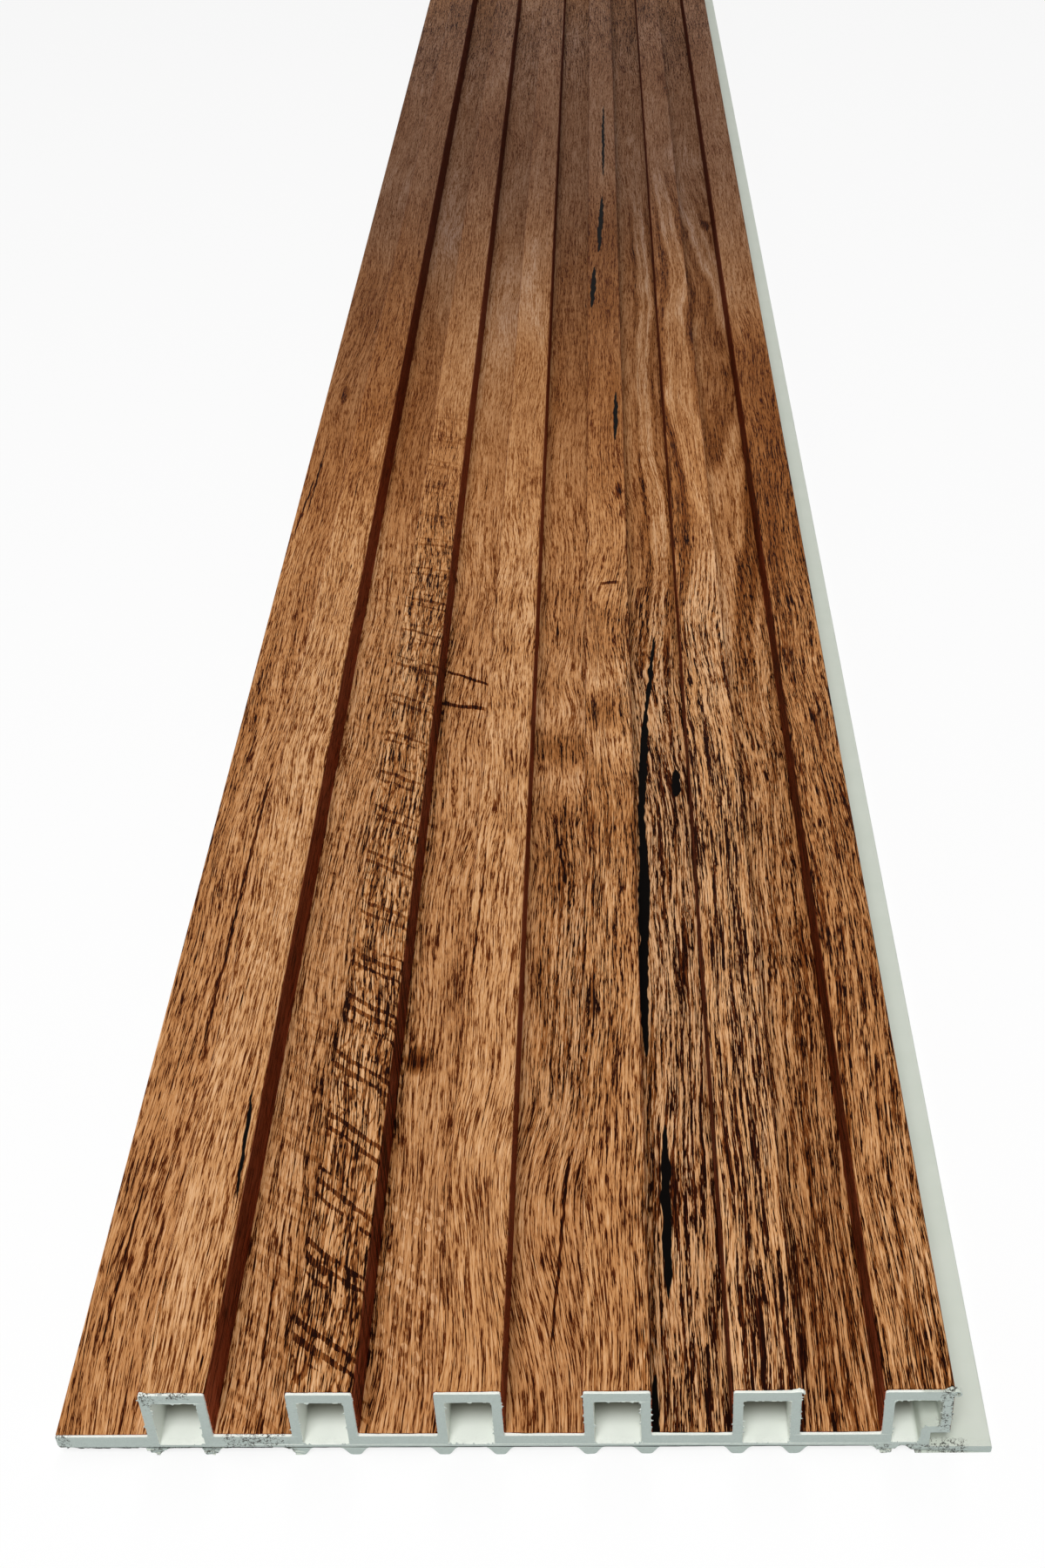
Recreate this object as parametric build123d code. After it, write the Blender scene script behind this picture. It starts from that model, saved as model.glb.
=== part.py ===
from build123d import *
import os

# Composite wall panel: a hollow ribbed board with a printed wood-grain face.
# It lies on its back. X runs across it, Y along it and Z up, in millimetres.
# The panel's middle stands over the origin, with its feet at Z = 0.

# Whole panel
panel_length = 2900.0
cover_width = 160.0  # what each fixed panel adds to the wall's width
rib_count = 6

# Ribs and base plate
rib_width = 12.0
rib_height = 12.2  # above the plate's face
base_thickness = 3.4
rib_edge_radius = 0.5
valley_radius = 0.2  # in the film's corner, at the foot of each rib

# Hollow inside each rib
top_wall = 2.4
side_wall = 1.75
hollow_floor = 1.0
hollow_corner_radius = 0.4

# Feet under the ribs' side walls
foot_height = 2.2
foot_root_width = 4.6
foot_tip_width = 1.8
foot_root_radius = 1.2
foot_tip_radius = 0.8

# Slot along the right edge, for the next panel's wing
slot_depth = 3.4
slot_end_gap = 0.8  # left past the wing's edge when the ribs are evenly spaced
wing_clearance = 0.25  # above and below the wing
lip_thickness = 1.75
web_thickness = 1.75
web_shoulder_radius = 1.2

# Edges of the panel
flange_reach = 7.9  # past the last rib
flange_edge_radius = 0.4
wing_edge_radius = 1.2

# Film
film_thickness = 0.2
film_setback = 0.4  # bare strip at each sawn end

# Levels above the floor
plate_bottom = foot_height
plate_top = plate_bottom + base_thickness
rib_top = plate_top + rib_height
hollow_bottom = plate_bottom + hollow_floor
hollow_top = rib_top - top_wall
flange_top = plate_bottom - wing_clearance
slot_ceiling = plate_top + film_thickness + wing_clearance
lip_top = slot_ceiling + lip_thickness

# Half widths of a foot
foot_root = foot_root_width / 2
foot_tip = foot_tip_width / 2

# Places across the panel
rib_pitch = cover_width / rib_count
ribs_width = (rib_count - 1) * rib_pitch + rib_width
wing_width = cover_width - ribs_width + slot_depth - slot_end_gap
overall_width = wing_width + ribs_width + flange_reach
wing_edge = -overall_width / 2
flange_edge = overall_width / 2
ribs_left = wing_edge + wing_width
ribs_right = ribs_left + ribs_width
slot_end = ribs_right - slot_depth
web_left = slot_end - web_thickness


def rib_left(rib):
    """X of a rib's left face, counted from 0 at the wing."""
    return ribs_left + rib * rib_pitch


def closed_face(corners):
    """Fills an outline given as (x, z, radius) corners, on the plane across the panel."""
    points = [(x, z) for x, z, radius in corners]
    radii = [radius for x, z, radius in corners]
    return Plane.XZ * make_face(FilletPolyline(*points, radius=radii, close=True))


def face_corners(offset):
    """Corners of the ribbed face, moved outwards by an offset, from the wing to the lip."""
    inner_radius = valley_radius + film_thickness - offset
    outer_radius = rib_edge_radius + offset
    corners = [(wing_edge, plate_top + offset, 0)]
    for rib in range(rib_count):
        left = rib_left(rib) - offset
        right = rib_left(rib) + rib_width + offset
        corners.append((left, plate_top + offset, inner_radius))
        corners.append((left, rib_top + offset, outer_radius))
        corners.append((right, rib_top + offset, outer_radius))
        corners.append((right, plate_top + offset, inner_radius))
    corners[-1] = (ribs_right + offset, slot_ceiling, 0)
    return corners


def board_outline():
    """The board's outside without its feet: face, slot, fixing flange, back and wing."""
    slot_and_flange = [
        (slot_end, slot_ceiling, 0),
        (slot_end, flange_top, 0),
        (flange_edge, flange_top, flange_edge_radius),
        (flange_edge, 0, flange_edge_radius),
        (web_left - foot_tip, 0, foot_tip_radius),
        (web_left - foot_root, plate_bottom, foot_root_radius),
        (wing_edge, plate_bottom, wing_edge_radius),
    ]
    return closed_face(face_corners(0) + slot_and_flange)


def foot(x):
    """A foot under a side wall, flared where it leaves the plate and rounded at its tip."""
    flare = foot_root + foot_root_radius
    buried = plate_bottom + hollow_floor / 2
    return closed_face(
        [
            (x - flare, buried, 0),
            (x - flare, plate_bottom, 0),
            (x - foot_root, plate_bottom, foot_root_radius),
            (x - foot_tip, 0, foot_tip_radius),
            (x + foot_tip, 0, foot_tip_radius),
            (x + foot_root, plate_bottom, foot_root_radius),
            (x + flare, plate_bottom, 0),
            (x + flare, buried, 0),
        ]
    )


def hollow(rib):
    """The hollow of a rib with two plain side walls."""
    left = rib_left(rib) + side_wall
    right = rib_left(rib) + rib_width - side_wall
    return closed_face(
        [
            (left, hollow_bottom, hollow_corner_radius),
            (left, hollow_top, hollow_corner_radius),
            (right, hollow_top, hollow_corner_radius),
            (right, hollow_bottom, hollow_corner_radius),
        ]
    )


def stepped_hollow():
    """The last rib's hollow, which steps in over the lip and down beside the slot's web."""
    left = rib_left(rib_count - 1) + side_wall
    right = ribs_right - side_wall
    return closed_face(
        [
            (left, hollow_bottom, hollow_corner_radius),
            (left, hollow_top, hollow_corner_radius),
            (right, hollow_top, hollow_corner_radius),
            (right, lip_top, hollow_corner_radius),
            (web_left, lip_top, web_shoulder_radius),
            (web_left, hollow_bottom, hollow_corner_radius),
        ]
    )


def board_section():
    """The board's section: the outline with a foot under each wall, less the hollows."""
    section = board_outline()
    for rib in range(rib_count):
        section += foot(rib_left(rib) + side_wall / 2)
        if rib < rib_count - 1:
            section += foot(rib_left(rib) + rib_width - side_wall / 2)
            section -= hollow(rib)
    section -= stepped_hollow()
    return section


def film_section():
    """The film's section: a strip of one thickness that follows the ribbed face."""
    return closed_face(face_corners(0) + face_corners(film_thickness)[::-1])


def run_along(section, length):
    """Extrudes a section by half a length each way from the panel's middle."""
    return extrude(section, amount=length / 2, both=True)


parts = {
    "extruded_profile": run_along(board_section(), panel_length),
    "wood_grain_film": run_along(film_section(), panel_length - 2 * film_setback),
}

os.makedirs("parts", exist_ok=True)
for name, solid in parts.items():
    export_step(solid, "parts/" + name + ".step")
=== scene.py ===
import math
import random
from functools import reduce

import bmesh
import bpy
from bpy.props import FloatProperty, FloatVectorProperty, IntProperty, PointerProperty
from mathutils import Matrix, Vector, noise
from mathutils.geometry import tessellate_polygon


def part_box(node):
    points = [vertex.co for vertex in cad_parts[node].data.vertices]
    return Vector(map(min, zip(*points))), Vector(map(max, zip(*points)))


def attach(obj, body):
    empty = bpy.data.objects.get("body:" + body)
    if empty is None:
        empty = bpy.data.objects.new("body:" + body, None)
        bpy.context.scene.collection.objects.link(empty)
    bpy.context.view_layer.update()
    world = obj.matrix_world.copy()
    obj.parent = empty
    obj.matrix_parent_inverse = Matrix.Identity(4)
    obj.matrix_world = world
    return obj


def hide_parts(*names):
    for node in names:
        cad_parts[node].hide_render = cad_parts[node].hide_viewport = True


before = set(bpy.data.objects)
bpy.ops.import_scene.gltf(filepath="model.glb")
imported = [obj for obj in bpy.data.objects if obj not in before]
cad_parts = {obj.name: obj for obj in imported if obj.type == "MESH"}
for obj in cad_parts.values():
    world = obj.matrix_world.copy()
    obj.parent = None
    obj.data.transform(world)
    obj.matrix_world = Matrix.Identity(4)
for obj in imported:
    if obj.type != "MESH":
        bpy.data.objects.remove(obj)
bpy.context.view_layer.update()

bl_info = {
    "name": "Composite wall panel",
    "version": (1, 0, 0),
    "blender": (4, 5, 0),
    "location": "3D View > Sidebar > Wall panel",
    "description": "Dresses a ribbed wall panel: board, printed film, saw burrs and stage",
    "category": "Object",
}

# The solids' box, and where the panel's parts lie in it, in metres
FILM_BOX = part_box("wood_grain_film")
BOARD_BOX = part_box("extruded_profile")
NEAR_END = BOARD_BOX[0].y
FAR_END = BOARD_BOX[1].y
WING_EDGE = BOARD_BOX[0].x
FLANGE_EDGE = BOARD_BOX[1].x
FACE_LEVEL = FILM_BOX[1].z
PANEL_LENGTH = FAR_END - NEAR_END
MM = 0.001
WELD = 1e-6  # points closer than this are one

# Places across the panel and levels, in metres
RIB_PITCH = 26.667 * MM
LAST_RIB_RIGHT = 77.35 * MM
PLATE_LEVEL = 5.6 * MM

# How far in the sawn ends are uneven, and the steps between rings of points there and between
END_ZONE = 4 * MM
END_STEPS = 3
MIDDLE_STEPS = 9
# The flat map of a long piece: its rows, the gap round each, and the share that hidden sides get
MAP_ROWS = 3
MAP_GAP = 0.004
HIDDEN_SHARE = 0.06
# How much of the flat map's height the two sawn ends take, on the board and on the film
BOARD_ENDS_HEIGHT = 0.24
FILM_ENDS_HEIGHT = 0.03
# Edges sharper than this stay crisp
CRISP_ANGLE = math.radians(30)
# Lower edges that the saw chipped: from, to and up to which level
CHIPPED_EDGES = (
    (-84.8 * MM, -54.0 * MM, 3.0 * MM),
    (-51.0 * MM, -40.0 * MM, 3.0 * MM),
    (64.0 * MM, 80.0 * MM, 1.2 * MM),
)
# Roughness above which a lower edge is chipped, from 0 to 1
CHIP_LIMIT = 0.45
# Torn and dirty places on the near end, in millimetres: left, right, low and high edges
TORN_PLACES = (
    (0.0, 44.0, -1.0, 2.6),
    (31.0, 43.0, 2.0, 6.0),
    (-1.0, 2.5, 2.0, 6.0),
    (17.0, 20.5, 13.5, 18.5),
    (21.0, 26.5, 16.6, 18.5),
    (149.0, 166.0, -1.0, 2.6),
    (160.4, 163.5, 6.5, 18.5),
    (136.0, 138.5, 12.0, 18.5),
)
# Chips out of the film's edge: place, level, reach and depth
FILM_CHIPS = (
    (50.7 * MM, 17.9 * MM, 1.4 * MM, 0.5 * MM),
    (77.4 * MM, 17.9 * MM, 1.8 * MM, 0.9 * MM),
    (-68.0 * MM, 17.9 * MM, 1.6 * MM, 0.5 * MM),
)

# A burr's corners, in shares of its width, length and depth: four at its root, then its tip
FLAKE_CORNERS = (
    (-0.5, -0.1, 0),
    (0.5, -0.1, 0),
    (0.5, -0.1, 1),
    (-0.5, -0.1, 1),
    (0.1, 1, 0.4),
)
BURR_SPACING = 0.4 * MM

# The stage, in metres: the floor, each lamp's width, length and place, and the camera's lens
WHITE = (1.0, 1.0, 1.0, 1.0)
FLOOR_SIZE = 24.0
SOFTBOX_SIZE = (0.5, 4.5)
SOFTBOX_PLACE = (0.0, -0.3, 2.2)
SOFTBOX_TARGET = (0.0, -0.3, 0.0)
FILL_SIZE = (0.8, 0.8)
FILL_PLACE = (-0.15, NEAR_END - 1.0, 1.9)
NEAREST_SEEN = 0.01
SENSOR_WIDTH = 36.0  # in millimetres

# The print repeats along the panel, as a printing roller leaves it, in millimetres.
# Places on it are counted across from the wing's edge and along from the near end.
# Each repeat starts a lead ahead of its marks, where there is plain grain only.
PRINT_REPEAT = 1450.0
PRINT_LEAD = 150.0
# The print's tones, from 0 for a pore to 1 for the palest wood
WOOD_TONES = (
    (0.0, "pore_colour"),
    (0.10, "deep_wood"),
    (0.25, "dark_wood"),
    (0.40, "brown_wood"),
    (0.55, "mid_wood"),
    (0.67, "warm_wood"),
    (0.77, "light_wood"),
    (0.90, "pale_wood"),
    (1.0, "bright_wood"),
)
# Knots that the grain flows round: across, along, width, length and push
KNOTS = (
    (62.0, 246.0, 26.0, 60.0, 4.0),
    (108.0, 345.0, 22.0, 50.0, 3.0),
    (8.0, 440.0, 20.0, 60.0, 2.5),
    (116.0, 262.0, 20.0, 50.0, 3.0),
)
# Lighter and darker places: left, right, near and far edges, and the change of tone
TONES = (
    (0.0, 5.0, -40.0, 300.0, -0.08),
    (17.0, 29.5, -40.0, 340.0, 0.08),
    (17.0, 29.5, 560.0, 720.0, -0.10),
    (29.5, 42.5, -40.0, 350.0, 0.07),
    (29.5, 42.5, 520.0, 640.0, 0.08),
    (43.5, 56.5, -40.0, 300.0, 0.08),
    (44.0, 56.5, 640.0, 760.0, -0.10),
    (56.5, 70.0, -40.0, 400.0, 0.02),
    (56.5, 78.0, 480.0, 570.0, 0.12),
    (70.5, 82.7, 50.0, 400.0, 0.07),
    (83.0, 97.0, 60.0, 160.0, 0.05),
    (83.0, 109.0, 154.0, 184.0, -0.08),
    (83.0, 110.0, 193.0, 203.0, 0.07),
    (83.0, 106.0, 207.0, 221.0, -0.16),
    (83.0, 110.0, 226.0, 242.0, 0.08),
    (97.0, 109.5, 244.0, 268.0, -0.12),
    (83.0, 96.0, 276.0, 300.0, -0.10),
    (97.0, 109.5, 340.0, 400.0, -0.12),
    (110.0, 123.0, 60.0, 260.0, 0.08),
    (136.5, 150.0, -20.0, 120.0, -0.03),
    (124.0, 136.0, 290.0, 470.0, -0.13),
    (136.5, 150.0, -40.0, 260.0, -0.05),
    (136.5, 150.0, 290.0, 400.0, -0.14),
    (70.5, 82.7, 330.0, 460.0, -0.06),
    (42.0, 83.0, 410.0, 500.0, 0.08),
    (83.0, 110.0, 400.0, 620.0, -0.14),
    (148.0, 163.5, 60.0, 480.0, -0.12),
    (150.0, 163.5, 280.0, 450.0, -0.18),
    (0.0, 42.0, 350.0, 560.0, -0.11),
    (17.0, 43.0, 900.0, 1240.0, -0.06),
    (56.5, 83.0, 960.0, 1270.0, 0.06),
    (110.0, 136.0, 880.0, 1160.0, -0.08),
    (136.5, 163.5, 1020.0, 1260.0, 0.05),
)
# Spots: across, along, width, length and the change of tone
SPOTS = (
    (60.3, 96.0, 7.0, 10.0, -0.62),
    (62.0, 246.0, 5.0, 7.0, -0.10),
    (107.4, 341.0, 2.6, 12.0, -0.50),
    (7.4, 446.0, 5.0, 18.0, -0.22),
    (147.5, 607.0, 6.0, 16.0, -0.25),
    (26.6, 378.0, 5.0, 36.0, 0.24),
    (15.0, 270.0, 8.0, 100.0, 0.12),
    (118.0, 368.0, 9.0, 30.0, -0.10),
)
# Thin dark lines across the grain: (across, along) at the left and right ends, and width
CHECKS = (
    ((101.5, 282.0), (106.5, 282.5), 1.1),
    ((56.5, 255.0), (69.0, 247.5), 0.9),
    ((56.0, 238.5), (68.5, 235.0), 1.1),
)
# Open cracks: (across, along) at the near and far ends, and width
CRACKS = (
    ((110.5, 96.0), (111.8, 190.0), 2.5),
    ((111.0, 176.0), (113.6, 234.0), 2.1),
    ((113.0, 226.0), (116.9, 271.0), 1.4),
    ((113.2, 30.0), (113.8, 76.0), 2.0),
    ((28.4, 46.0), (27.0, 76.0), 0.9),
    ((106.4, 376.0), (107.4, 414.0), 1.3),
    ((99.0, 490.0), (99.6, 532.0), 1.8),
    ((101.8, 548.0), (103.2, 614.0), 2.0),
    ((103.6, 640.0), (104.4, 742.0), 1.3),
    ((110.0, -14.0), (110.3, 13.0), 1.5),
    ((120.6, 192.0), (120.9, 204.0), 2.4),
)
# Thin brown cracks, given in the same way
FINE_CRACKS = (
    ((10.4, 102.0), (11.2, 152.0), 0.7),
    ((11.0, 146.0), (11.6, 204.0), 0.8),
    ((90.6, 18.0), (94.0, 70.0), 0.7),
    ((88.6, 265.0), (88.4, 283.0), 0.6),
    ((92.2, 157.0), (88.2, 186.0), 0.6),
    ((119.4, 156.0), (120.4, 193.0), 0.6),
    ((1.0, 335.0), (3.0, 378.0), 0.6),
    ((3.6, 352.0), (4.4, 402.0), 0.5),
    ((36.4, 8.0), (35.8, 44.0), 0.6),
    ((4.2, 18.0), (5.0, 62.0), 0.6),
    ((72.0, 110.0), (73.0, 160.0), 0.5),
)


def paint(red, green, blue):
    """A screen colour from 0 to 255 as the linear colour that a shader takes."""
    channels = []
    for value in (red, green, blue):
        share = value / 255
        channels.append(share / 12.92 if share <= 0.04045 else ((share + 0.055) / 1.055) ** 2.4)
    return tuple(channels)


def colour_property(name, description, screen_colour):
    """A colour that a user can change, with its default given as a screen colour."""
    return FloatVectorProperty(
        name=name,
        description=description,
        subtype="COLOR",
        size=3,
        min=0.0,
        max=1.0,
        default=paint(*screen_colour),
    )


def number_property(name, description, default, **limits):
    """A number that a user can change, from 0 up unless its limits say otherwise."""
    limits.setdefault("min", 0.0)
    return FloatProperty(name=name, description=description, default=default, **limits)


def length_property(name, description, millimetres, least=0.0):
    """A length that a user can change, with its default and least value in millimetres."""
    return number_property(name, description, millimetres * MM, min=least * MM, unit="LENGTH")


def share_property(name, description, default):
    """A share from 0 to 1 that a user can change."""
    return number_property(name, description, default, max=1.0)


def angle_property(name, description, degrees):
    """An angle that a user can change, with its default in degrees."""
    angle = math.radians(degrees)
    return number_property(name, description, angle, min=-math.pi, max=math.pi, subtype="ANGLE")


class BoardSettings(bpy.types.PropertyGroup):
    """Sizes and colours of the extruded board."""

    colour: colour_property("Composite", "Colour of the flange and the back", (206, 212, 201))
    # Painted light: the hollows get a paler copy of the composite, for the light that reaches them
    # from the front
    lit_hollow_colour: colour_property("Lit hollows", "Colour in the hollows", (242, 246, 238))
    # Painted shade: the composite darkens further into the hollows
    hollow_shade_colour: colour_property("Deep in the hollows", "Colour further in", (138, 136, 118))
    cut_colour: colour_property("Sawn face", "Colour of the sawn ends", (184, 194, 188))
    smudge_colour: colour_property("Smudges", "Grey of the dirt on the sawn end", (70, 70, 64))
    edge_step: length_property("Edge spacing", "Spacing of the points on the edges", 0.5, 0.1)
    saw_wander: length_property("Saw wander", "How far the sawn ends wander from the cut", 0.12)
    chip_depth: length_property("Chip depth", "How deep the saw chipped the lower edge", 0.9)


class FilmSettings(bpy.types.PropertyGroup):
    """Sizes and colours of the printed film."""

    bright_wood: colour_property("Brightest wood", "Palest tone of the print", (226, 179, 134))
    pale_wood: colour_property("Pale wood", "Pale tone of the print", (213, 160, 110))
    light_wood: colour_property("Light wood", "Light tone of the print", (197, 140, 88))
    warm_wood: colour_property("Warm wood", "Warm tone of the print", (181, 123, 74))
    mid_wood: colour_property("Middle wood", "Middle tone of the print", (160, 102, 54))
    brown_wood: colour_property("Brown wood", "Brown tone of the print", (132, 76, 34))
    dark_wood: colour_property("Dark wood", "Dark tone of the print", (98, 46, 16))
    deep_wood: colour_property("Deep wood", "Darkest tone of the print", (50, 15, 4))
    pore_colour: colour_property("Pores", "Colour of the pores", (24, 6, 2))
    # Painted shade: this tint darkens and greys the print's far stretch, for light that falls off
    # along the panel
    far_shade_colour: colour_property("Far shade", "Tint of the print's darker stretch", (172, 179, 213))
    crack_colour: colour_property("Cracks", "Colour of the open cracks", (7, 5, 4))
    # Painted shade: this tint darkens the ribs' side walls, for the little light that reaches them
    wall_shade_colour: colour_property("Rib sides", "Tint of the ribs' side walls", (181, 98, 82))
    edge_step: length_property("Edge spacing", "Spacing of the points on the edges", 0.4, 0.1)
    ragged: length_property("Ragged edge", "How unevenly the film is torn at its ends", 0.28)
    roughness: share_property("Roughness", "Roughness of the satin print", 0.6)


class BurrSettings(bpy.types.PropertyGroup):
    """The burrs on the sawn end."""

    seed: IntProperty(name="Seed", description="Seed of the burrs' places", default=11, min=0)
    share: share_property("Share", "Share of the cut edge's points that carry a burr", 0.22)
    length: length_property("Length", "Length of the longest burr", 0.5)


class StageSettings(bpy.types.PropertyGroup):
    """The floor, the lights and the camera."""

    floor_colour: colour_property("Floor", "Colour of the pale floor", (250, 250, 250))
    floor_glow: share_property("Floor glow", "Share of the floor that is white in any light", 0.78)
    sky_strength: share_property("Sky", "Strength of the even light", 0.22)
    key_power: number_property("Softbox", "Watts of the long softbox over the panel", 18.0)
    fill_power: number_property("Fill", "Watts of the lamp in front of the sawn end", 32.0)
    camera_place: FloatVectorProperty(
        name="Camera",
        description="Where the camera stands",
        subtype="TRANSLATION",
        size=3,
        default=(0.0216, -1.6579, 0.3050),
    )
    camera_down: angle_property("Down", "How far the camera looks down", 36.26)
    camera_turn: angle_property("Turn", "How far it turns right of the panel's length", -3.76)
    camera_roll: angle_property("Roll", "How far it leans", 3.49)
    focal_length: number_property("Focal length", "In millimetres", 43.77, min=10.0)


# Where a Mix node has its factor, its two colours and the blended colour
MIX_FACTOR = 0
MIX_COLOURS = (6, 7)
MIX_RESULT = 2


class Shade:
    """A socket of a material's node, for writing shader maths as Python expressions."""

    def __init__(self, tree, socket):
        self.tree = tree
        self.socket = socket

    def node(self, kind, settings=None, sockets=None, output=0):
        """Adds a node: its settings first, then the values or links of its sockets."""
        made = self.tree.nodes.new(kind)
        for name, value in (settings or {}).items():
            setattr(made, name, value)
        for name, value in (sockets or {}).items():
            if isinstance(value, Shade):
                self.tree.links.new(value.socket, made.inputs[name])
            else:
                made.inputs[name].default_value = value
        return Shade(self.tree, made.outputs[output])

    def maths(self, operation, *values):
        """Adds a Math node."""
        return self.node("ShaderNodeMath", {"operation": operation}, dict(enumerate(values)))

    def __add__(self, other):
        return self.maths("ADD", self, other)

    __radd__ = __add__

    def __sub__(self, other):
        return self.maths("SUBTRACT", self, other)

    def __rsub__(self, other):
        return self.maths("SUBTRACT", other, self)

    def __mul__(self, other):
        return self.maths("MULTIPLY", self, other)

    def __truediv__(self, other):
        return self.maths("DIVIDE", self, other)

    def __abs__(self):
        return self.maths("ABSOLUTE", self)

    def scaled(self, factor, shift):
        """This value times a factor, plus a shift, in one node."""
        return self.maths("MULTIPLY_ADD", self, factor, shift)

    def root(self):
        return self.maths("SQRT", self)

    def wave(self, period, shift=0.0):
        """A sine wave from -1 to 1 with a period, shifted by an angle."""
        return self.maths("SINE", self.scaled(2 * math.pi / period, shift))

    def larger(self, other):
        return self.maths("MAXIMUM", self, other)

    def smaller(self, other):
        return self.maths("MINIMUM", self, other)

    def clamped(self):
        return self.node("ShaderNodeClamp", None, {"Value": self})

    def rise(self, low, high):
        """0 below low, 1 above high and a smooth rise between them."""
        span = {"Value": self, "From Min": low, "From Max": high}
        return self.node("ShaderNodeMapRange", {"interpolation_type": "SMOOTHSTEP"}, span)

    def fall(self, low, high):
        """1 below low, 0 above high and a smooth fall between them."""
        span = {"Value": self, "From Min": low, "From Max": high, "To Min": 1.0, "To Max": 0.0}
        return self.node("ShaderNodeMapRange", {"interpolation_type": "SMOOTHSTEP"}, span)

    def band(self, low, high, soft):
        """1 between low and high, with soft edges."""
        half = (high - low) / 2
        return abs(self - (low + high) / 2).fall(half - soft, half + soft)

    def joined(self, y, z):
        """This value, y and z as one vector."""
        return self.node("ShaderNodeCombineXYZ", None, {"X": self, "Y": y, "Z": z})

    def blend(self, first, second, way="MIX"):
        """Two colours, each a shade or red, green and blue, blended with this as the factor."""
        settings = {"data_type": "RGBA", "blend_type": way}
        sockets = {MIX_FACTOR: self}
        for number, colour in zip(MIX_COLOURS, (first, second)):
            sockets[number] = colour if isinstance(colour, Shade) else (*colour, 1.0)
        return self.node("ShaderNodeMix", settings, sockets, MIX_RESULT)

    def coloured(self, stops):
        """This value's colour on a ramp of stops, each a place from 0 to 1 and a colour."""
        result = self.node("ShaderNodeValToRGB", None, {"Fac": self})
        elements = result.socket.node.color_ramp.elements
        while len(elements) > 1:
            elements.remove(elements[-1])
        for index, (place, colour) in enumerate(stops):
            stop = elements[0] if index == 0 else elements.new(place)
            stop.position = place
            stop.color = (*colour, 1.0)
        return result


def largest(shades):
    """The largest of several shades."""
    return reduce(Shade.larger, shades)


def new_material(name):
    """A new material and its surface shader."""
    material = bpy.data.materials.new(name)
    material.use_nodes = True
    shader = material.node_tree.nodes["Principled BSDF"]
    return material, shader


def feed(shader, socket, shade):
    """Links a shade into one of a shader's sockets."""
    shade.tree.links.new(shade.socket, shader.inputs[socket])


def parts_of(vector):
    """The X, Y and Z of a vector."""
    split = vector.node("ShaderNodeSeparateXYZ", None, {"Vector": vector})
    return [Shade(vector.tree, socket) for socket in split.socket.node.outputs]


def place_of(material):
    """A place in millimetres: across from the wing's edge, along from the near end, and up."""
    start = Shade(material.node_tree, None)
    x, y, z = parts_of(start.node("ShaderNodeTexCoord", output="Object"))
    return (x - WING_EDGE) / MM, (y - NEAR_END) / MM, z / MM


def normal_of(shade):
    """The X, Y and Z of the surface's own direction."""
    return parts_of(shade.node("ShaderNodeNewGeometry", output="Normal"))


def seen_directly(shade):
    """1 for a ray from the camera, a mirror or glass, 0 for light on its way to the object."""
    rays = shade.node("ShaderNodeLightPath").socket.node.outputs
    camera_ray = Shade(shade.tree, rays["Is Camera Ray"])
    glossy_ray = Shade(shade.tree, rays["Is Glossy Ray"])
    clear_ray = Shade(shade.tree, rays["Is Transmission Ray"])
    return camera_ray.larger(glossy_ray).larger(clear_ray)


def bump_of(height, strength, distance):
    """A bump from a height."""
    sockets = {"Height": height, "Strength": strength, "Distance": distance}
    return height.node("ShaderNodeBump", None, sockets)


class Surface:
    """Places on a surface in millimetres, and the streaks, patches and cracks drawn there.

    Streaks and clouds take the place along the whole panel, zones, spots and cracks the place
    within one repeat of the pattern.
    """

    def __init__(self, across, along, up, repeat):
        self.across = across
        self.along = along
        self.up = up
        self.repeat = repeat

    def texture(self, width, length, seed, up, dimensions, detail, roughness):
        """Noise from 0 to 1 with spots of a width and length; each seed gives other spots."""
        x = self.across / width + seed * 3.7
        y = self.along / length + seed * 1.3
        sockets = {"Vector": x.joined(y, up), "Scale": 1.0}
        sockets.update({"Detail": detail, "Roughness": roughness})
        return x.node("ShaderNodeTexNoise", {"noise_dimensions": dimensions}, sockets)

    def streaks(self, width, length, seed, detail=2.0, roughness=0.6):
        """Streaks from 0 to 1, which change where the surface turns up a wall."""
        return self.texture(width, length, seed, self.up / width, "3D", detail, roughness)

    def cloud(self, width, length, seed, detail=1.0, roughness=0.5):
        """Soft clouds from -1 to 1, which run on from rib to rib."""
        return (self.texture(width, length, seed, 0.0, "2D", detail, roughness) - 0.5) * 2

    def zone(self, left, right, near, far, soft=6.0, soft_along=20.0):
        """A soft-edged oblong: 1 inside, 0 outside."""
        return self.across.band(left, right, soft) * self.repeat.band(near, far, soft_along)

    def end_patch(self, left, right, low, high):
        """A soft-edged patch on the near end."""
        return self.zone(left, right, -9, 9, 0.6, 3) * self.up.band(low, high, 0.5)

    def spot(self, across, along, width, length):
        """Distance from a place, where 1 is the edge of an ellipse of that width and length."""
        x = self.across.scaled(2 / width, -2 * across / width)
        y = self.repeat.scaled(2 / length, -2 * along / length)
        return y.scaled(y, x * x).root()

    def crack(self, near, far, width, bent, ragged):
        """A crack between two (across, along) places, widest at its middle and wavy as bent is."""
        length = far[1] - near[1]
        reach = self.repeat.scaled(2 / length, -(near[1] + far[1]) / length)
        half = (1 - reach * reach).root() * (width / 2) * ragged
        middle = reach.scaled((far[0] - near[0]) / 2, (near[0] + far[0]) / 2)
        return (half - abs(bent - middle)).rise(-0.1, 0.1)


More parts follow.
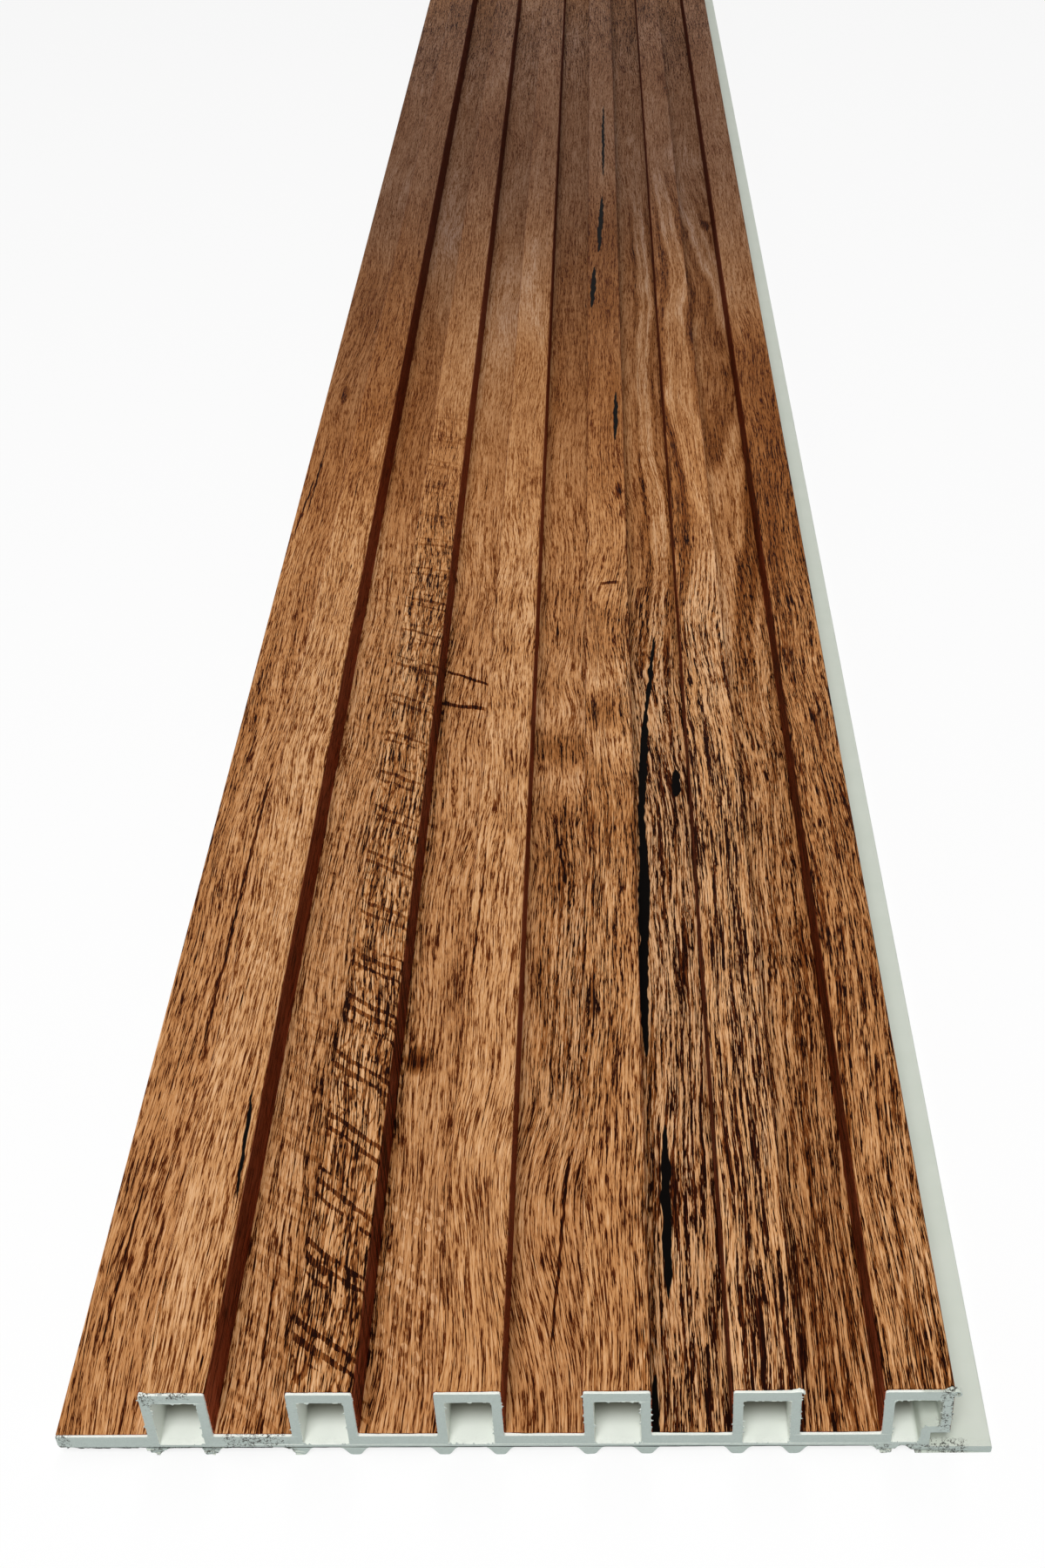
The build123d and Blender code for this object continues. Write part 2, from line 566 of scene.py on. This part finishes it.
def printed_film(settings):
    """The film's print: reclaimed wood with pores, saw marks, cracks and knots."""
    material, shader = new_material("printed wood film")
    across, along, up = place_of(material)
    led = along + PRINT_LEAD
    repeat = led.maths("FLOORED_MODULO", led, PRINT_REPEAT) - PRINT_LEAD
    plain = Surface(across, along, up, repeat)

    # How the grain bends: slowly everywhere, round the knots, and aslant where it flames
    slow = plain.cloud(40, 130, 1)
    quick = plain.cloud(11, 38, 2)
    flame = plain.zone(66, 98, 0, 62, 10, 22) * (repeat - 30) * 0.16
    curl = plain.zone(66, 104, 165, 300, 8, 20)
    bend = slow * 4.0 + quick * (1.0 + curl * 1.5) + flame
    for place, along_place, width, length, push in KNOTS:
        side = across.scaled(-2 * push / width, 2 * push * place / width)
        bend = plain.spot(place, along_place, width, length).fall(0.1, 1.0).scaled(side, bend)
    grain = Surface(across + bend, along, up, repeat)

    # Fine fibres, streaks and broad bands of the wood
    fibre = grain.streaks(0.20, 4.6, 3, 2.0, 0.66)
    streak = grain.streaks(0.44, 19.0, 4, 3.0, 0.62)
    coarse_streak = grain.streaks(0.80, 34.0, 9, 3.0, 0.66)
    broad = grain.streaks(5.0, 110.0, 5, 1.0)
    crowd = plain.cloud(16, 55, 6, 2.0)

    # How coarse the pores are, from one side of the print to the other
    edge = across + slow * 5
    right = (edge.rise(104, 114) - edge.rise(134, 142) * 0.5) * repeat.fall(215, 330)
    clear = 1 - repeat.rise(230, 430) * repeat.fall(760, 900) * 0.42
    middle = edge.rise(82, 90) * edge.fall(98, 108) * repeat.band(75, 180, 35)
    saw_side = plain.zone(40, 57, -20, 320, 2.5, 40)
    coarse = (right + middle * 0.55 + saw_side * 0.35) * repeat.rise(-110, -10)

    # Tone: 0 is nearly black, 0.55 the print's middle brown, 1 its palest
    tone = slow * 0.03 + 0.70 - (broad - 0.5) * 0.30
    tone = tone - (streak - 0.5 + (fibre - 0.5) * 1.05) * clear
    pores = (fibre * 0.8 + streak * 0.8 + crowd * 0.03).rise(0.82, 0.85)
    tone = tone - pores * clear * 0.38
    marks = (coarse_streak + fibre * 0.55 + streak * 0.25 + broad * 0.10).rise(0.935, 0.97)
    long_marks = (coarse_streak + fibre * 0.28).rise(0.79, 0.82)
    tone = tone + coarse * 0.11 - marks * coarse * 0.74 - long_marks * clear * 0.32

    # Tall arches of the grain on the right, above the coarse wood
    arch_place = (across - 121) / 24
    arch = across + arch_place * arch_place * (repeat - 660) * 0.06 + slow * 4 + quick * 1.2
    rings = arch.wave(10.5) * 0.6 + arch.wave(3.6) * 0.35 + (coarse_streak - 0.5) * 1.6
    ring_zone = across.rise(111, 117) * across.fall(147, 153)
    ring_zone = ring_zone * repeat.rise(190, 300) * repeat.fall(600, 680)
    tone = tone + rings * ring_zone * 0.33

    # Dark bands across the grain
    bars = (repeat + across * 0.215 + quick * 5.16).wave(27)
    tone = tone + bars * curl * 0.06

    # Light and dark places of the print
    for left, right_side, near, far, change in TONES:
        softness = min(30.0, (far - near) / 3)
        tone = plain.zone(left, right_side, near, far, 2.0, softness).scaled(change, tone)
    patchy = slow * 0.07 + quick * 0.08
    tone = tone + patchy * repeat.rise(300, 450) * repeat.fall(950, 1280)

    # Saw marks across the grain: a dark net with three bundles of strokes, and pale scratches
    slope = 0.85 - repeat * 0.0014
    jumps = plain.cloud(3.5, 9.0, 10, 2.0)
    sawn_along = repeat + slope * (across - 50) + quick * 1.4 + jumps * 0.8
    strokes = sawn_along.wave(3.7) + sawn_along.wave(17.6, -1.9) * 0.8
    uneven = jumps + (streak - 0.5) * 1.9 + (fibre - 0.5) * 1.4
    strong = repeat.fall(95, 135)
    net = (strokes + strong * 0.35 + crowd * 0.6 + uneven).rise(1.0, 1.25)
    mesh = abs(plain.cloud(2.1, 11.0, 11, 2.0)).fall(0.03, 0.10)
    mesh = (mesh + (streak * 0.6 + fibre * 0.5).rise(0.588, 0.615)).smaller(1.0)
    net_zone = plain.zone(43.2, 56.8, -20, 300, 1.2, 30)
    net_zone = net_zone + plain.zone(43, 56, 300, 400, 2, 20) * 0.40
    net_zone = net_zone + plain.zone(30, 43, -20, 330, 3, 30) * 0.30
    tone = tone - net.larger(mesh * 0.8) * net_zone * (strong * 0.16 + 0.36)
    pale_net = (strokes + across.wave(2.4) + (streak - 0.5) * 2.0).rise(0.9, 1.3)
    tone = tone + pale_net * plain.zone(57, 70, 12, 56, 1.5, 6) * 0.22
    scratches = (strokes * 0.4 + across.wave(1.7) + (fibre - 0.5) * 4.0).rise(0.75, 1.2)
    tone = tone + scratches * plain.zone(20.5, 28.0, 112, 186, 1.5, 14) * 0.32

    # Spots, and thin lines across the grain
    unrest = jumps * 0.6 + quick * 0.3
    for place, along_place, width, length, change in SPOTS:
        spot = plain.spot(place, along_place, width, length) + unrest
        tone = spot.fall(0.3, 1.15).scaled(change, tone)
    ring = plain.spot(62, 246, 13, 24)
    tone = tone + (ring + quick * 0.091).wave(0.571) * ring.fall(0.5, 1.5) * 0.07
    for left_end, right_end, width in CHECKS:
        lean = (right_end[1] - left_end[1]) / (right_end[0] - left_end[0])
        middle = (across - left_end[0]) * lean + left_end[1] + jumps * 1.1
        length = across.band(left_end[0], right_end[0], 1.0)
        tone = tone - (abs(repeat - middle) / width).fall(0.5, 1.0) * length * 0.60

    # Open cracks and thin brown cracks
    bent = across - quick * 0.5 - plain.cloud(3.0, 5.0, 7) * 0.35
    ragged = plain.cloud(2.2, 4.5, 8) * 0.45 + 1.0
    gap = largest([plain.crack(*crack, bent, ragged) for crack in CRACKS])
    for crack in FINE_CRACKS:
        tone = plain.crack(*crack, bent, ragged).scaled(-0.62, tone)
    tone = tone.smaller(1.0)

    colour = tone.coloured([(place, getattr(settings, name)) for place, name in WOOD_TONES])
    # Painted shade: further along each repeat the print darkens and greys, for light that falls off
    # away from the lamps
    shade = (repeat + slow * 40 + quick * 15).rise(310, 680) * repeat.fall(880, 1280)
    colour = shade.blend(colour, settings.far_shade_colour, "MULTIPLY")
    # Painted shade: sideways-facing walls are darkened, for light that only grazes them
    wall = abs(normal_of(across)[2]).fall(0.3, 0.8)
    colour = (wall * 0.9).blend(colour, settings.wall_shade_colour, "MULTIPLY")
    colour = gap.blend(colour, settings.crack_colour)
    feed(shader, "Base Color", colour)
    shader.inputs["Roughness"].default_value = settings.roughness
    shader.inputs["Specular IOR Level"].default_value = 0.02
    relief = plain.streaks(0.22, 5.0, 3, 1.0)
    feed(shader, "Normal", bump_of(relief, 0.5, 0.06 * MM))
    return material


def composite(settings):
    """The board's pale composite, greyer and marked where it was sawn."""
    material, shader = new_material("pale composite")
    across, along, up = place_of(material)
    body = Surface(across, along, up, along)
    sawn = abs(normal_of(across)[1]).rise(0.5, 0.9)
    mottle = body.streaks(9.0, 9.0, 51, 3.0)
    scribble = body.streaks(1.1, 1.1, 52, 3.0, 0.65)
    speck = body.streaks(0.5, 0.5, 54, 2.0)
    tooth = body.streaks(0.30, 0.30, 53, 3.0, 0.6)

    # Dirt and torn places along the edges of the near end
    near = along.fall(0.6, 2.5)
    torn = largest([body.end_patch(*place) for place in TORN_PLACES])
    scratch = abs(scribble - 0.52).fall(0.012, 0.035) * (speck * 3 - 0.7).clamped()
    specks = (speck * 0.7 + scribble * 0.4 + torn * 0.02).rise(0.64, 0.67)
    dirt = specks.larger(scratch) * near * torn.larger(0.06)
    # Painted light: above the plate and left of the flange the composite is paler, for the light in
    # the hollows
    lit_hollows = up.rise(2.6, 2.9) * across.fall(156.5, 157.5)
    # Painted shade: the composite darkens from 5 to 10 mm into the hollows at either end
    depth = along.smaller(PANEL_LENGTH / MM - along)
    deep = depth.rise(5.0, 10.0) * lit_hollows

    colour = lit_hollows.blend(settings.colour, settings.lit_hollow_colour)
    colour = deep.blend(colour, settings.hollow_shade_colour)
    colour = ((mottle - 0.35) * 0.8).blend(colour, paint(236, 240, 236), "MULTIPLY")
    colour = sawn.blend(colour, settings.cut_colour)
    colour = (sawn * tooth).blend(colour, paint(226, 232, 232), "MULTIPLY")
    colour = dirt.blend(colour, settings.smudge_colour)
    feed(shader, "Base Color", colour)
    shader.inputs["Roughness"].default_value = 0.55
    shader.inputs["Specular IOR Level"].default_value = 0.25
    feed(shader, "Normal", bump_of(tooth * sawn, 0.6, 0.10 * MM))
    return material


def near_loops(node):
    """The closed outlines of a solid's near end, each a list of (x, z) points.

    The one with the most points comes first, and equal ones stand from left to right. Each
    starts at its leftmost point, so that every run gives the same order.
    """
    mesh = bmesh.new()
    mesh.from_mesh(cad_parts[node].data)
    bmesh.ops.remove_doubles(mesh, verts=mesh.verts, dist=WELD)
    near = min(vertex.co.y for vertex in mesh.verts) + WELD
    flat_faces = {face for face in mesh.faces if all(v.co.y < near for v in face.verts)}
    after = {}
    for face in flat_faces:
        for corner in face.loops:
            if len(flat_faces.intersection(corner.edge.link_faces)) == 1:
                after[corner.vert] = corner.link_loop_next.vert
    loops = []
    while after:
        vertex = next(iter(after))
        loop = []
        while vertex in after:
            following = after.pop(vertex)
            loop.append((vertex.co.x, vertex.co.z))
            vertex = following
        start = loop.index(min(loop))
        loops.append(loop[start:] + loop[:start])
    mesh.free()
    return sorted(loops, key=lambda loop: (-len(loop), loop[0]))


def with_spacing(loop, spacing):
    """A closed outline with points added so that none are further apart than the spacing."""
    points = []
    for index, here in enumerate(loop):
        there = loop[(index + 1) % len(loop)]
        reach = math.dist(here, there)
        count = max(1, math.ceil(reach / spacing))
        for step in range(count):
            share = step / count
            x = here[0] + (there[0] - here[0]) * share
            z = here[1] + (there[1] - here[1]) * share
            points.append((x, z))
    return points


def mesh_piece(name, mesh):
    """Turns a finished bmesh into a piece in the scene."""
    bmesh.ops.recalc_face_normals(mesh, faces=mesh.faces)
    data = bpy.data.meshes.new(name)
    mesh.to_mesh(data)
    mesh.free()
    piece = bpy.data.objects.new(name, data)
    bpy.context.scene.collection.objects.link(piece)
    return piece


def flat_spans(loops, hidden):
    """Where each side of the outlines starts and ends across a flat map, from 0 to 1.

    The first sides, as many as hidden says, lie against another piece and get little room.
    """
    spans = []
    across = 0.0
    for loop in loops:
        for index, here in enumerate(loop):
            start = across
            reach = math.dist(here, loop[(index + 1) % len(loop)])
            across += reach * (HIDDEN_SHARE if len(spans) < hidden else 1.0)
            spans.append((start, across))
    return [(start / across, end / across) for start, end in spans]


def build_run(name, loops, stations, shifted, hidden, ends_height, end_place):
    """A mesh of closed outlines run through the stations along Y, capped at both ends.

    Its flat map has rows side by side, each a stretch of its length, and the two ends above
    them, where end_place gives a corner's place from 0 to 1 across and up.
    """
    mesh = bmesh.new()
    layer = mesh.loops.layers.uv.new("OFBake")
    spans = flat_spans(loops, hidden)
    rings = []
    for y in stations:
        rings.append([mesh.verts.new(shifted(x, y, z)) for loop in loops for x, z in loop])
    following = []
    for loop in loops:
        first = len(following)
        following += [first + (index + 1) % len(loop) for index in range(len(loop))]
    row_length = (stations[-1] - stations[0]) / MAP_ROWS
    row_width = 1 / MAP_ROWS - 2 * MAP_GAP
    rows_height = 1 - ends_height - 2 * MAP_GAP
    for before, behind, y, next_y in zip(rings, rings[1:], stations, stations[1:]):
        row = min(MAP_ROWS - 1, int((y - stations[0] + WELD) / row_length))
        left = row / MAP_ROWS + MAP_GAP
        near = MAP_GAP + ((y - stations[0]) / row_length - row) * rows_height
        far = MAP_GAP + ((next_y - stations[0]) / row_length - row) * rows_height
        for index, after in enumerate(following):
            face = mesh.faces.new((before[index], before[after], behind[after], behind[index]))
            start, end = [left + place * row_width for place in spans[index]]
            places = ((start, near), (end, near), (end, far), (start, far))
            for corner, place in zip(face.loops, places):
                corner[layer].uv = place
    outline = [[Vector((x, z, 0)) for x, z in loop] for loop in loops]
    end_height = ends_height / 2
    for ring, turned, bottom in ((rings[0], 1, 1 - ends_height), (rings[-1], -1, 1 - end_height)):
        for triangle in tessellate_polygon(outline):
            numbers = triangle[::turned]
            face = mesh.faces.new([ring[number] for number in numbers])
            for corner, number in zip(face.loops, numbers):
                x, y = end_place(number, corner.vert.co, spans)
                inside = (x * (1 - 2 * MAP_GAP), y * (end_height - 2 * MAP_GAP))
                corner[layer].uv = (MAP_GAP + inside[0], bottom + MAP_GAP + inside[1])
    return mesh_piece(name, mesh)


def smoothed(piece):
    """Smooth shading, with sharp edges kept crisp."""
    piece.data.shade_smooth()
    piece.data.set_sharp_from_angle(angle=CRISP_ANGLE)


def stations_between(near, far):
    """Places along Y: close together within the end zones, and a few in between."""
    ends = [near + END_ZONE * index / END_STEPS for index in range(END_STEPS + 1)]
    middle = [near + (far - near) * share / MIDDLE_STEPS for share in range(1, MIDDLE_STEPS)]
    others = [far - (place - near) for place in reversed(ends)]
    return ends + middle + others


def rough(x, z, y, size):
    """Roughness from 0 to 1 at a place on a sawn end, with bumps of a size."""
    return min(1.0, max(0.0, noise.noise(Vector((x, z, y * 0.01)) / size) * 0.7 + 0.5))


def pushed_in(y, near, far, depth):
    """Y moved into the piece by a depth at its ends, and less further in."""
    inside = min(y - near, far - y)
    share = max(0.0, 1.0 - inside / END_ZONE)
    return y + depth * share * (1 if y < (near + far) / 2 else -1)


def void_side(loop, index):
    """The direction across an outline away from the board's material, at a point of it."""
    before = loop[index - 1]
    after = loop[(index + 1) % len(loop)]
    along_edge = Vector((after[0] - before[0], after[1] - before[1])).normalized()
    return Vector((along_edge.y, -along_edge.x))


def add_flake(mesh, root, away, width, length, depth):
    """A small burr: a thin wedge that stands out from a cut edge."""
    edge = Vector((-away.y, away.x))
    near = NEAR_END + 0.01 * MM
    corners = []
    for across, out, back in FLAKE_CORNERS:
        flat = Vector(root) + edge * (across * width) + away * (out * length)
        corners.append(mesh.verts.new((flat.x, near + back * depth, flat.y)))
    base, tip = corners[:4], corners[4]
    mesh.faces.new(base)
    for index in range(4):
        mesh.faces.new((base[index], base[(index + 1) % 4], tip))


def add_ribbon(mesh, line, thickness, near, far):
    """A curled shaving: a strip of one thickness along a line of (x, z) points."""
    rings = []
    for index, point in enumerate(line):
        before = line[max(0, index - 1)]
        after = line[min(len(line) - 1, index + 1)]
        forward = Vector((after[0] - before[0], after[1] - before[1])).normalized()
        aside = Vector((-forward.y, forward.x)) * (thickness / 2)
        inner = Vector(point) - aside
        outer = Vector(point) + aside
        sides = ((inner, near), (outer, near), (outer, far), (inner, far))
        rings.append([mesh.verts.new((side.x, y, side.y)) for side, y in sides])
    for first, second in zip(rings, rings[1:]):
        for index in range(4):
            following = (index + 1) % 4
            mesh.faces.new((first[index], first[following], second[following], second[index]))
    mesh.faces.new(rings[0])
    mesh.faces.new(rings[-1])


class WALLPANEL_OT_board(bpy.types.Operator):
    """Builds the extruded board with its sawn ends"""

    bl_idname = "wallpanel.board"
    bl_label = "Extruded board"

    def execute(self, context):
        settings = context.scene.wallpanel_board
        loops = [with_spacing(loop, settings.edge_step) for loop in near_loops("extruded_profile")]

        def sawn(x, y, z):
            depth = rough(x, z, y, 1.5 * MM) * settings.saw_wander
            for left, right, top in CHIPPED_EDGES:
                if left < x < right and z < top and rough(x, z, y, 0.8 * MM) > CHIP_LIMIT:
                    depth += rough(z, x, y, 0.6 * MM) * settings.chip_depth
            return (x, pushed_in(y, NEAR_END, FAR_END, depth), z)

        def end_place(number, place, spans):
            return (place.x - WING_EDGE) / (FLANGE_EDGE - WING_EDGE), place.z / FACE_LEVEL

        stations = stations_between(NEAR_END, FAR_END)
        piece = build_run("board", loops, stations, sawn, 0, BOARD_ENDS_HEIGHT, end_place)
        piece.data.materials.append(composite(settings))
        smoothed(piece)
        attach(piece, "root")
        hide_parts("extruded_profile")
        return {"FINISHED"}


class WALLPANEL_OT_film(bpy.types.Operator):
    """Builds the printed film over the ribbed face"""

    bl_idname = "wallpanel.film"
    bl_label = "Printed film"

    def execute(self, context):
        settings = context.scene.wallpanel_film
        loop = with_spacing(self.from_wing(near_loops("wood_grain_film")[0]), settings.edge_step)
        lip = max(range(len(loop)), key=lambda index: (round(loop[index][0], 6), -loop[index][1]))
        near = FILM_BOX[0].y
        far = FILM_BOX[1].y

        def torn(x, y, z):
            tear = rough(x, z, y, 3.0 * MM) + rough(x, z, y, 0.6 * MM) * 0.5
            depth = tear * settings.ragged
            for place_x, place_z, reach, chip in FILM_CHIPS:
                distance = math.dist((x, z), (place_x, place_z))
                if y < 0:
                    depth += chip * max(0.0, 1.0 - distance / reach)
            return (x, pushed_in(y, near, far, depth), z)

        def end_place(number, place, spans):
            start = spans[number][0]
            turn = spans[lip][0]
            if number == 0:
                return 0.0, 0.0
            if number < lip:
                return start / turn, 1.0
            return (1 - start) / (1 - turn), 0.0

        stations = stations_between(near, far)
        piece = build_run("printed_film", [loop], stations, torn, lip, FILM_ENDS_HEIGHT, end_place)
        piece.data.materials.append(printed_film(settings))
        smoothed(piece)
        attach(piece, "root")
        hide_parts("wood_grain_film")
        return {"FINISHED"}

    def from_wing(self, loop):
        """The film's outline, started at the outer corner on the wing's edge."""
        start = max(range(len(loop)), key=lambda index: (-round(loop[index][0], 6), loop[index][1]))
        return loop[start:] + loop[:start]


class WALLPANEL_OT_burrs(bpy.types.Operator):
    """Builds the burrs and shavings that the saw left on the near end"""

    bl_idname = "wallpanel.burrs"
    bl_label = "Saw burrs"

    def execute(self, context):
        settings = context.scene.wallpanel_burrs
        dice = random.Random(settings.seed)
        mesh = bmesh.new()
        outline, *hollows = near_loops("extruded_profile")
        for loop in hollows:
            self.flakes_along(mesh, loop, settings, dice, lambda x, z: True)
        self.flakes_along(mesh, outline, settings, dice, self.on_rib_side)
        self.corner_shavings(mesh)
        piece = mesh_piece("saw_burrs", mesh)
        piece.data.materials.append(composite(context.scene.wallpanel_board))
        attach(piece, "root")
        return {"FINISHED"}

    def on_rib_side(self, x, z):
        """True on the outer side walls of the ribs, clear of the face and the plate."""
        between_levels = PLATE_LEVEL + 0.5 * MM < z < FACE_LEVEL - 0.8 * MM
        return between_levels and x < LAST_RIB_RIGHT + 0.1 * MM

    def flakes_along(self, mesh, loop, settings, dice, wanted):
        """Scatters small burrs along an outline, where they are wanted."""
        loop = with_spacing(loop, BURR_SPACING)
        for index, (x, z) in enumerate(loop):
            if not wanted(x, z) or dice.random() > settings.share:
                continue
            width = dice.uniform(0.3, 0.9) * MM
            length = dice.uniform(0.1, 1.0) ** 2 * settings.length
            depth = dice.uniform(0.1, 0.3) * MM
            add_flake(mesh, (x, z), void_side(loop, index), width, length, depth)

    def corner_shavings(self, mesh):
        """A curl at the last rib's corner, and a flap on the rib before it."""
        curl = []
        for step in range(19):
            angle = math.radians(200 - step * 25)
            radius = (0.84 - step * 0.024) * MM
            centre_x = LAST_RIB_RIGHT + 0.55 * MM
            centre_z = FACE_LEVEL - 1.0 * MM
            curl.append((centre_x + math.cos(angle) * radius, centre_z + math.sin(angle) * radius))
        add_ribbon(mesh, curl, 0.26 * MM, NEAR_END + 0.05 * MM, NEAR_END + 1.1 * MM)
        rib_right = LAST_RIB_RIGHT - RIB_PITCH
        top = FACE_LEVEL - 0.16 * MM
        flap = [
            (rib_right - 1.6 * MM, top - 0.15 * MM),
            (rib_right - 0.6 * MM, top),
            (rib_right + 0.2 * MM, top - 0.1 * MM),
            (rib_right + 0.5 * MM, top - 0.5 * MM),
        ]
        add_ribbon(mesh, flap, 0.3 * MM, NEAR_END + 0.02 * MM, NEAR_END + 0.75 * MM)


class WALLPANEL_OT_stage(bpy.types.Operator):
    """Sets up the floor, the lights, the white background and the camera"""

    bl_idname = "wallpanel.stage"
    bl_label = "Stage"

    def execute(self, context):
        settings = context.scene.wallpanel_stage
        self.floor(settings)
        self.world(context.scene, settings)
        self.lamps(settings)
        self.camera(context.scene, settings)
        return {"FINISHED"}

    def floor(self, settings):
        """A large pale floor."""
        bpy.ops.mesh.primitive_plane_add(size=FLOOR_SIZE, location=(0.0, 0.0, 0.0))
        floor = bpy.context.object
        floor.name = "floor"
        material, shader = new_material("pale floor")
        shader.inputs["Base Color"].default_value = (*settings.floor_colour, 1.0)
        shader.inputs["Roughness"].default_value = 0.9
        shader.inputs["Specular IOR Level"].default_value = 0.1
        start = Shade(material.node_tree, None)
        share = seen_directly(start) * settings.floor_glow
        lit = Shade(start.tree, shader.outputs["BSDF"])
        glow = start.node("ShaderNodeEmission", None, {"Color": WHITE, "Strength": 1.0})
        both = start.node("ShaderNodeMixShader", None, {0: share, 1: lit, 2: glow})
        output = material.node_tree.nodes["Material Output"]
        material.node_tree.links.new(both.socket, output.inputs["Surface"])
        floor.data.materials.append(material)

    def world(self, scene, settings):
        """Even light, with a white background where a camera, mirror or glass ray ends."""
        world = bpy.data.worlds.new("studio")
        scene.world = world
        world.use_nodes = True
        world.node_tree.nodes.clear()
        start = Shade(world.node_tree, None)
        sky = settings.sky_strength
        strength = seen_directly(start) * (1.0 - sky) + sky
        light = start.node("ShaderNodeBackground", None, {"Color": WHITE, "Strength": strength})
        output = world.node_tree.nodes.new("ShaderNodeOutputWorld")
        world.node_tree.links.new(light.socket, output.inputs["Surface"])

    def lamp(self, name, width, length, power, place, target):
        """A soft rectangular lamp at a place, turned towards a target."""
        light = bpy.data.lights.new(name, "AREA")
        light.shape = "RECTANGLE"
        light.size = width
        light.size_y = length
        light.energy = power
        lamp = bpy.data.objects.new(name, light)
        lamp.location = place
        aim = Vector(target) - Vector(place)
        lamp.rotation_euler = aim.to_track_quat("-Z", "Y").to_euler()
        bpy.context.scene.collection.objects.link(lamp)

    def lamps(self, settings):
        """A long softbox over the whole panel, and a lamp that lights the sawn end."""
        self.lamp("softbox", *SOFTBOX_SIZE, settings.key_power, SOFTBOX_PLACE, SOFTBOX_TARGET)
        self.lamp("fill", *FILL_SIZE, settings.fill_power, FILL_PLACE, (0.0, NEAR_END, 0.0))

    def camera(self, scene, settings):
        """A camera at the photograph's angle."""
        down = settings.camera_down
        turn = settings.camera_turn
        roll = settings.camera_roll
        ahead = Vector((math.sin(turn), math.cos(turn), 0.0))
        forward = ahead * math.cos(down) - Vector((0.0, 0.0, math.sin(down)))
        level_right = Vector((math.cos(turn), -math.sin(turn), 0.0))
        level_down = forward.cross(level_right)
        right = math.cos(roll) * level_right + math.sin(roll) * level_down
        image_down = math.cos(roll) * level_down - math.sin(roll) * level_right
        lens = bpy.data.cameras.new("camera")
        lens.lens = settings.focal_length
        lens.sensor_width = SENSOR_WIDTH
        lens.clip_start = NEAREST_SEEN
        camera = bpy.data.objects.new("camera", lens)
        turned = Matrix((right, -image_down, -forward)).transposed().to_4x4()
        camera.matrix_world = Matrix.Translation(settings.camera_place) @ turned
        scene.collection.objects.link(camera)
        scene.camera = camera
        scene.view_settings.view_transform = "Standard"


class WALLPANEL_PT_pieces(bpy.types.Panel):
    """Lists the panel's pieces and their settings"""

    bl_idname = "WALLPANEL_PT_pieces"
    bl_label = "Composite wall panel"
    bl_space_type = "VIEW_3D"
    bl_region_type = "UI"
    bl_category = "Wall panel"

    def draw(self, context):
        for operator, group in STEPS:
            box = self.layout.box()
            box.operator(operator.bl_idname)
            settings = getattr(context.scene, group)
            for name in settings.__annotations__:
                box.prop(settings, name)


SETTINGS = {
    "wallpanel_board": BoardSettings,
    "wallpanel_film": FilmSettings,
    "wallpanel_burrs": BurrSettings,
    "wallpanel_stage": StageSettings,
}
STEPS = (
    (WALLPANEL_OT_board, "wallpanel_board"),
    (WALLPANEL_OT_film, "wallpanel_film"),
    (WALLPANEL_OT_burrs, "wallpanel_burrs"),
    (WALLPANEL_OT_stage, "wallpanel_stage"),
)
CLASSES = (*SETTINGS.values(), *(operator for operator, group in STEPS), WALLPANEL_PT_pieces)


def register():
    for item in CLASSES:
        bpy.utils.register_class(item)
    for name, group in SETTINGS.items():
        setattr(bpy.types.Scene, name, PointerProperty(type=group))


def unregister():
    for name in SETTINGS:
        delattr(bpy.types.Scene, name)
    for item in reversed(CLASSES):
        bpy.utils.unregister_class(item)


def main():
    """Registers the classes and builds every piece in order."""
    register()
    bpy.ops.wallpanel.board()
    bpy.ops.wallpanel.film()
    bpy.ops.wallpanel.burrs()
    bpy.ops.wallpanel.stage()


if __name__ == "__main__":
    main()
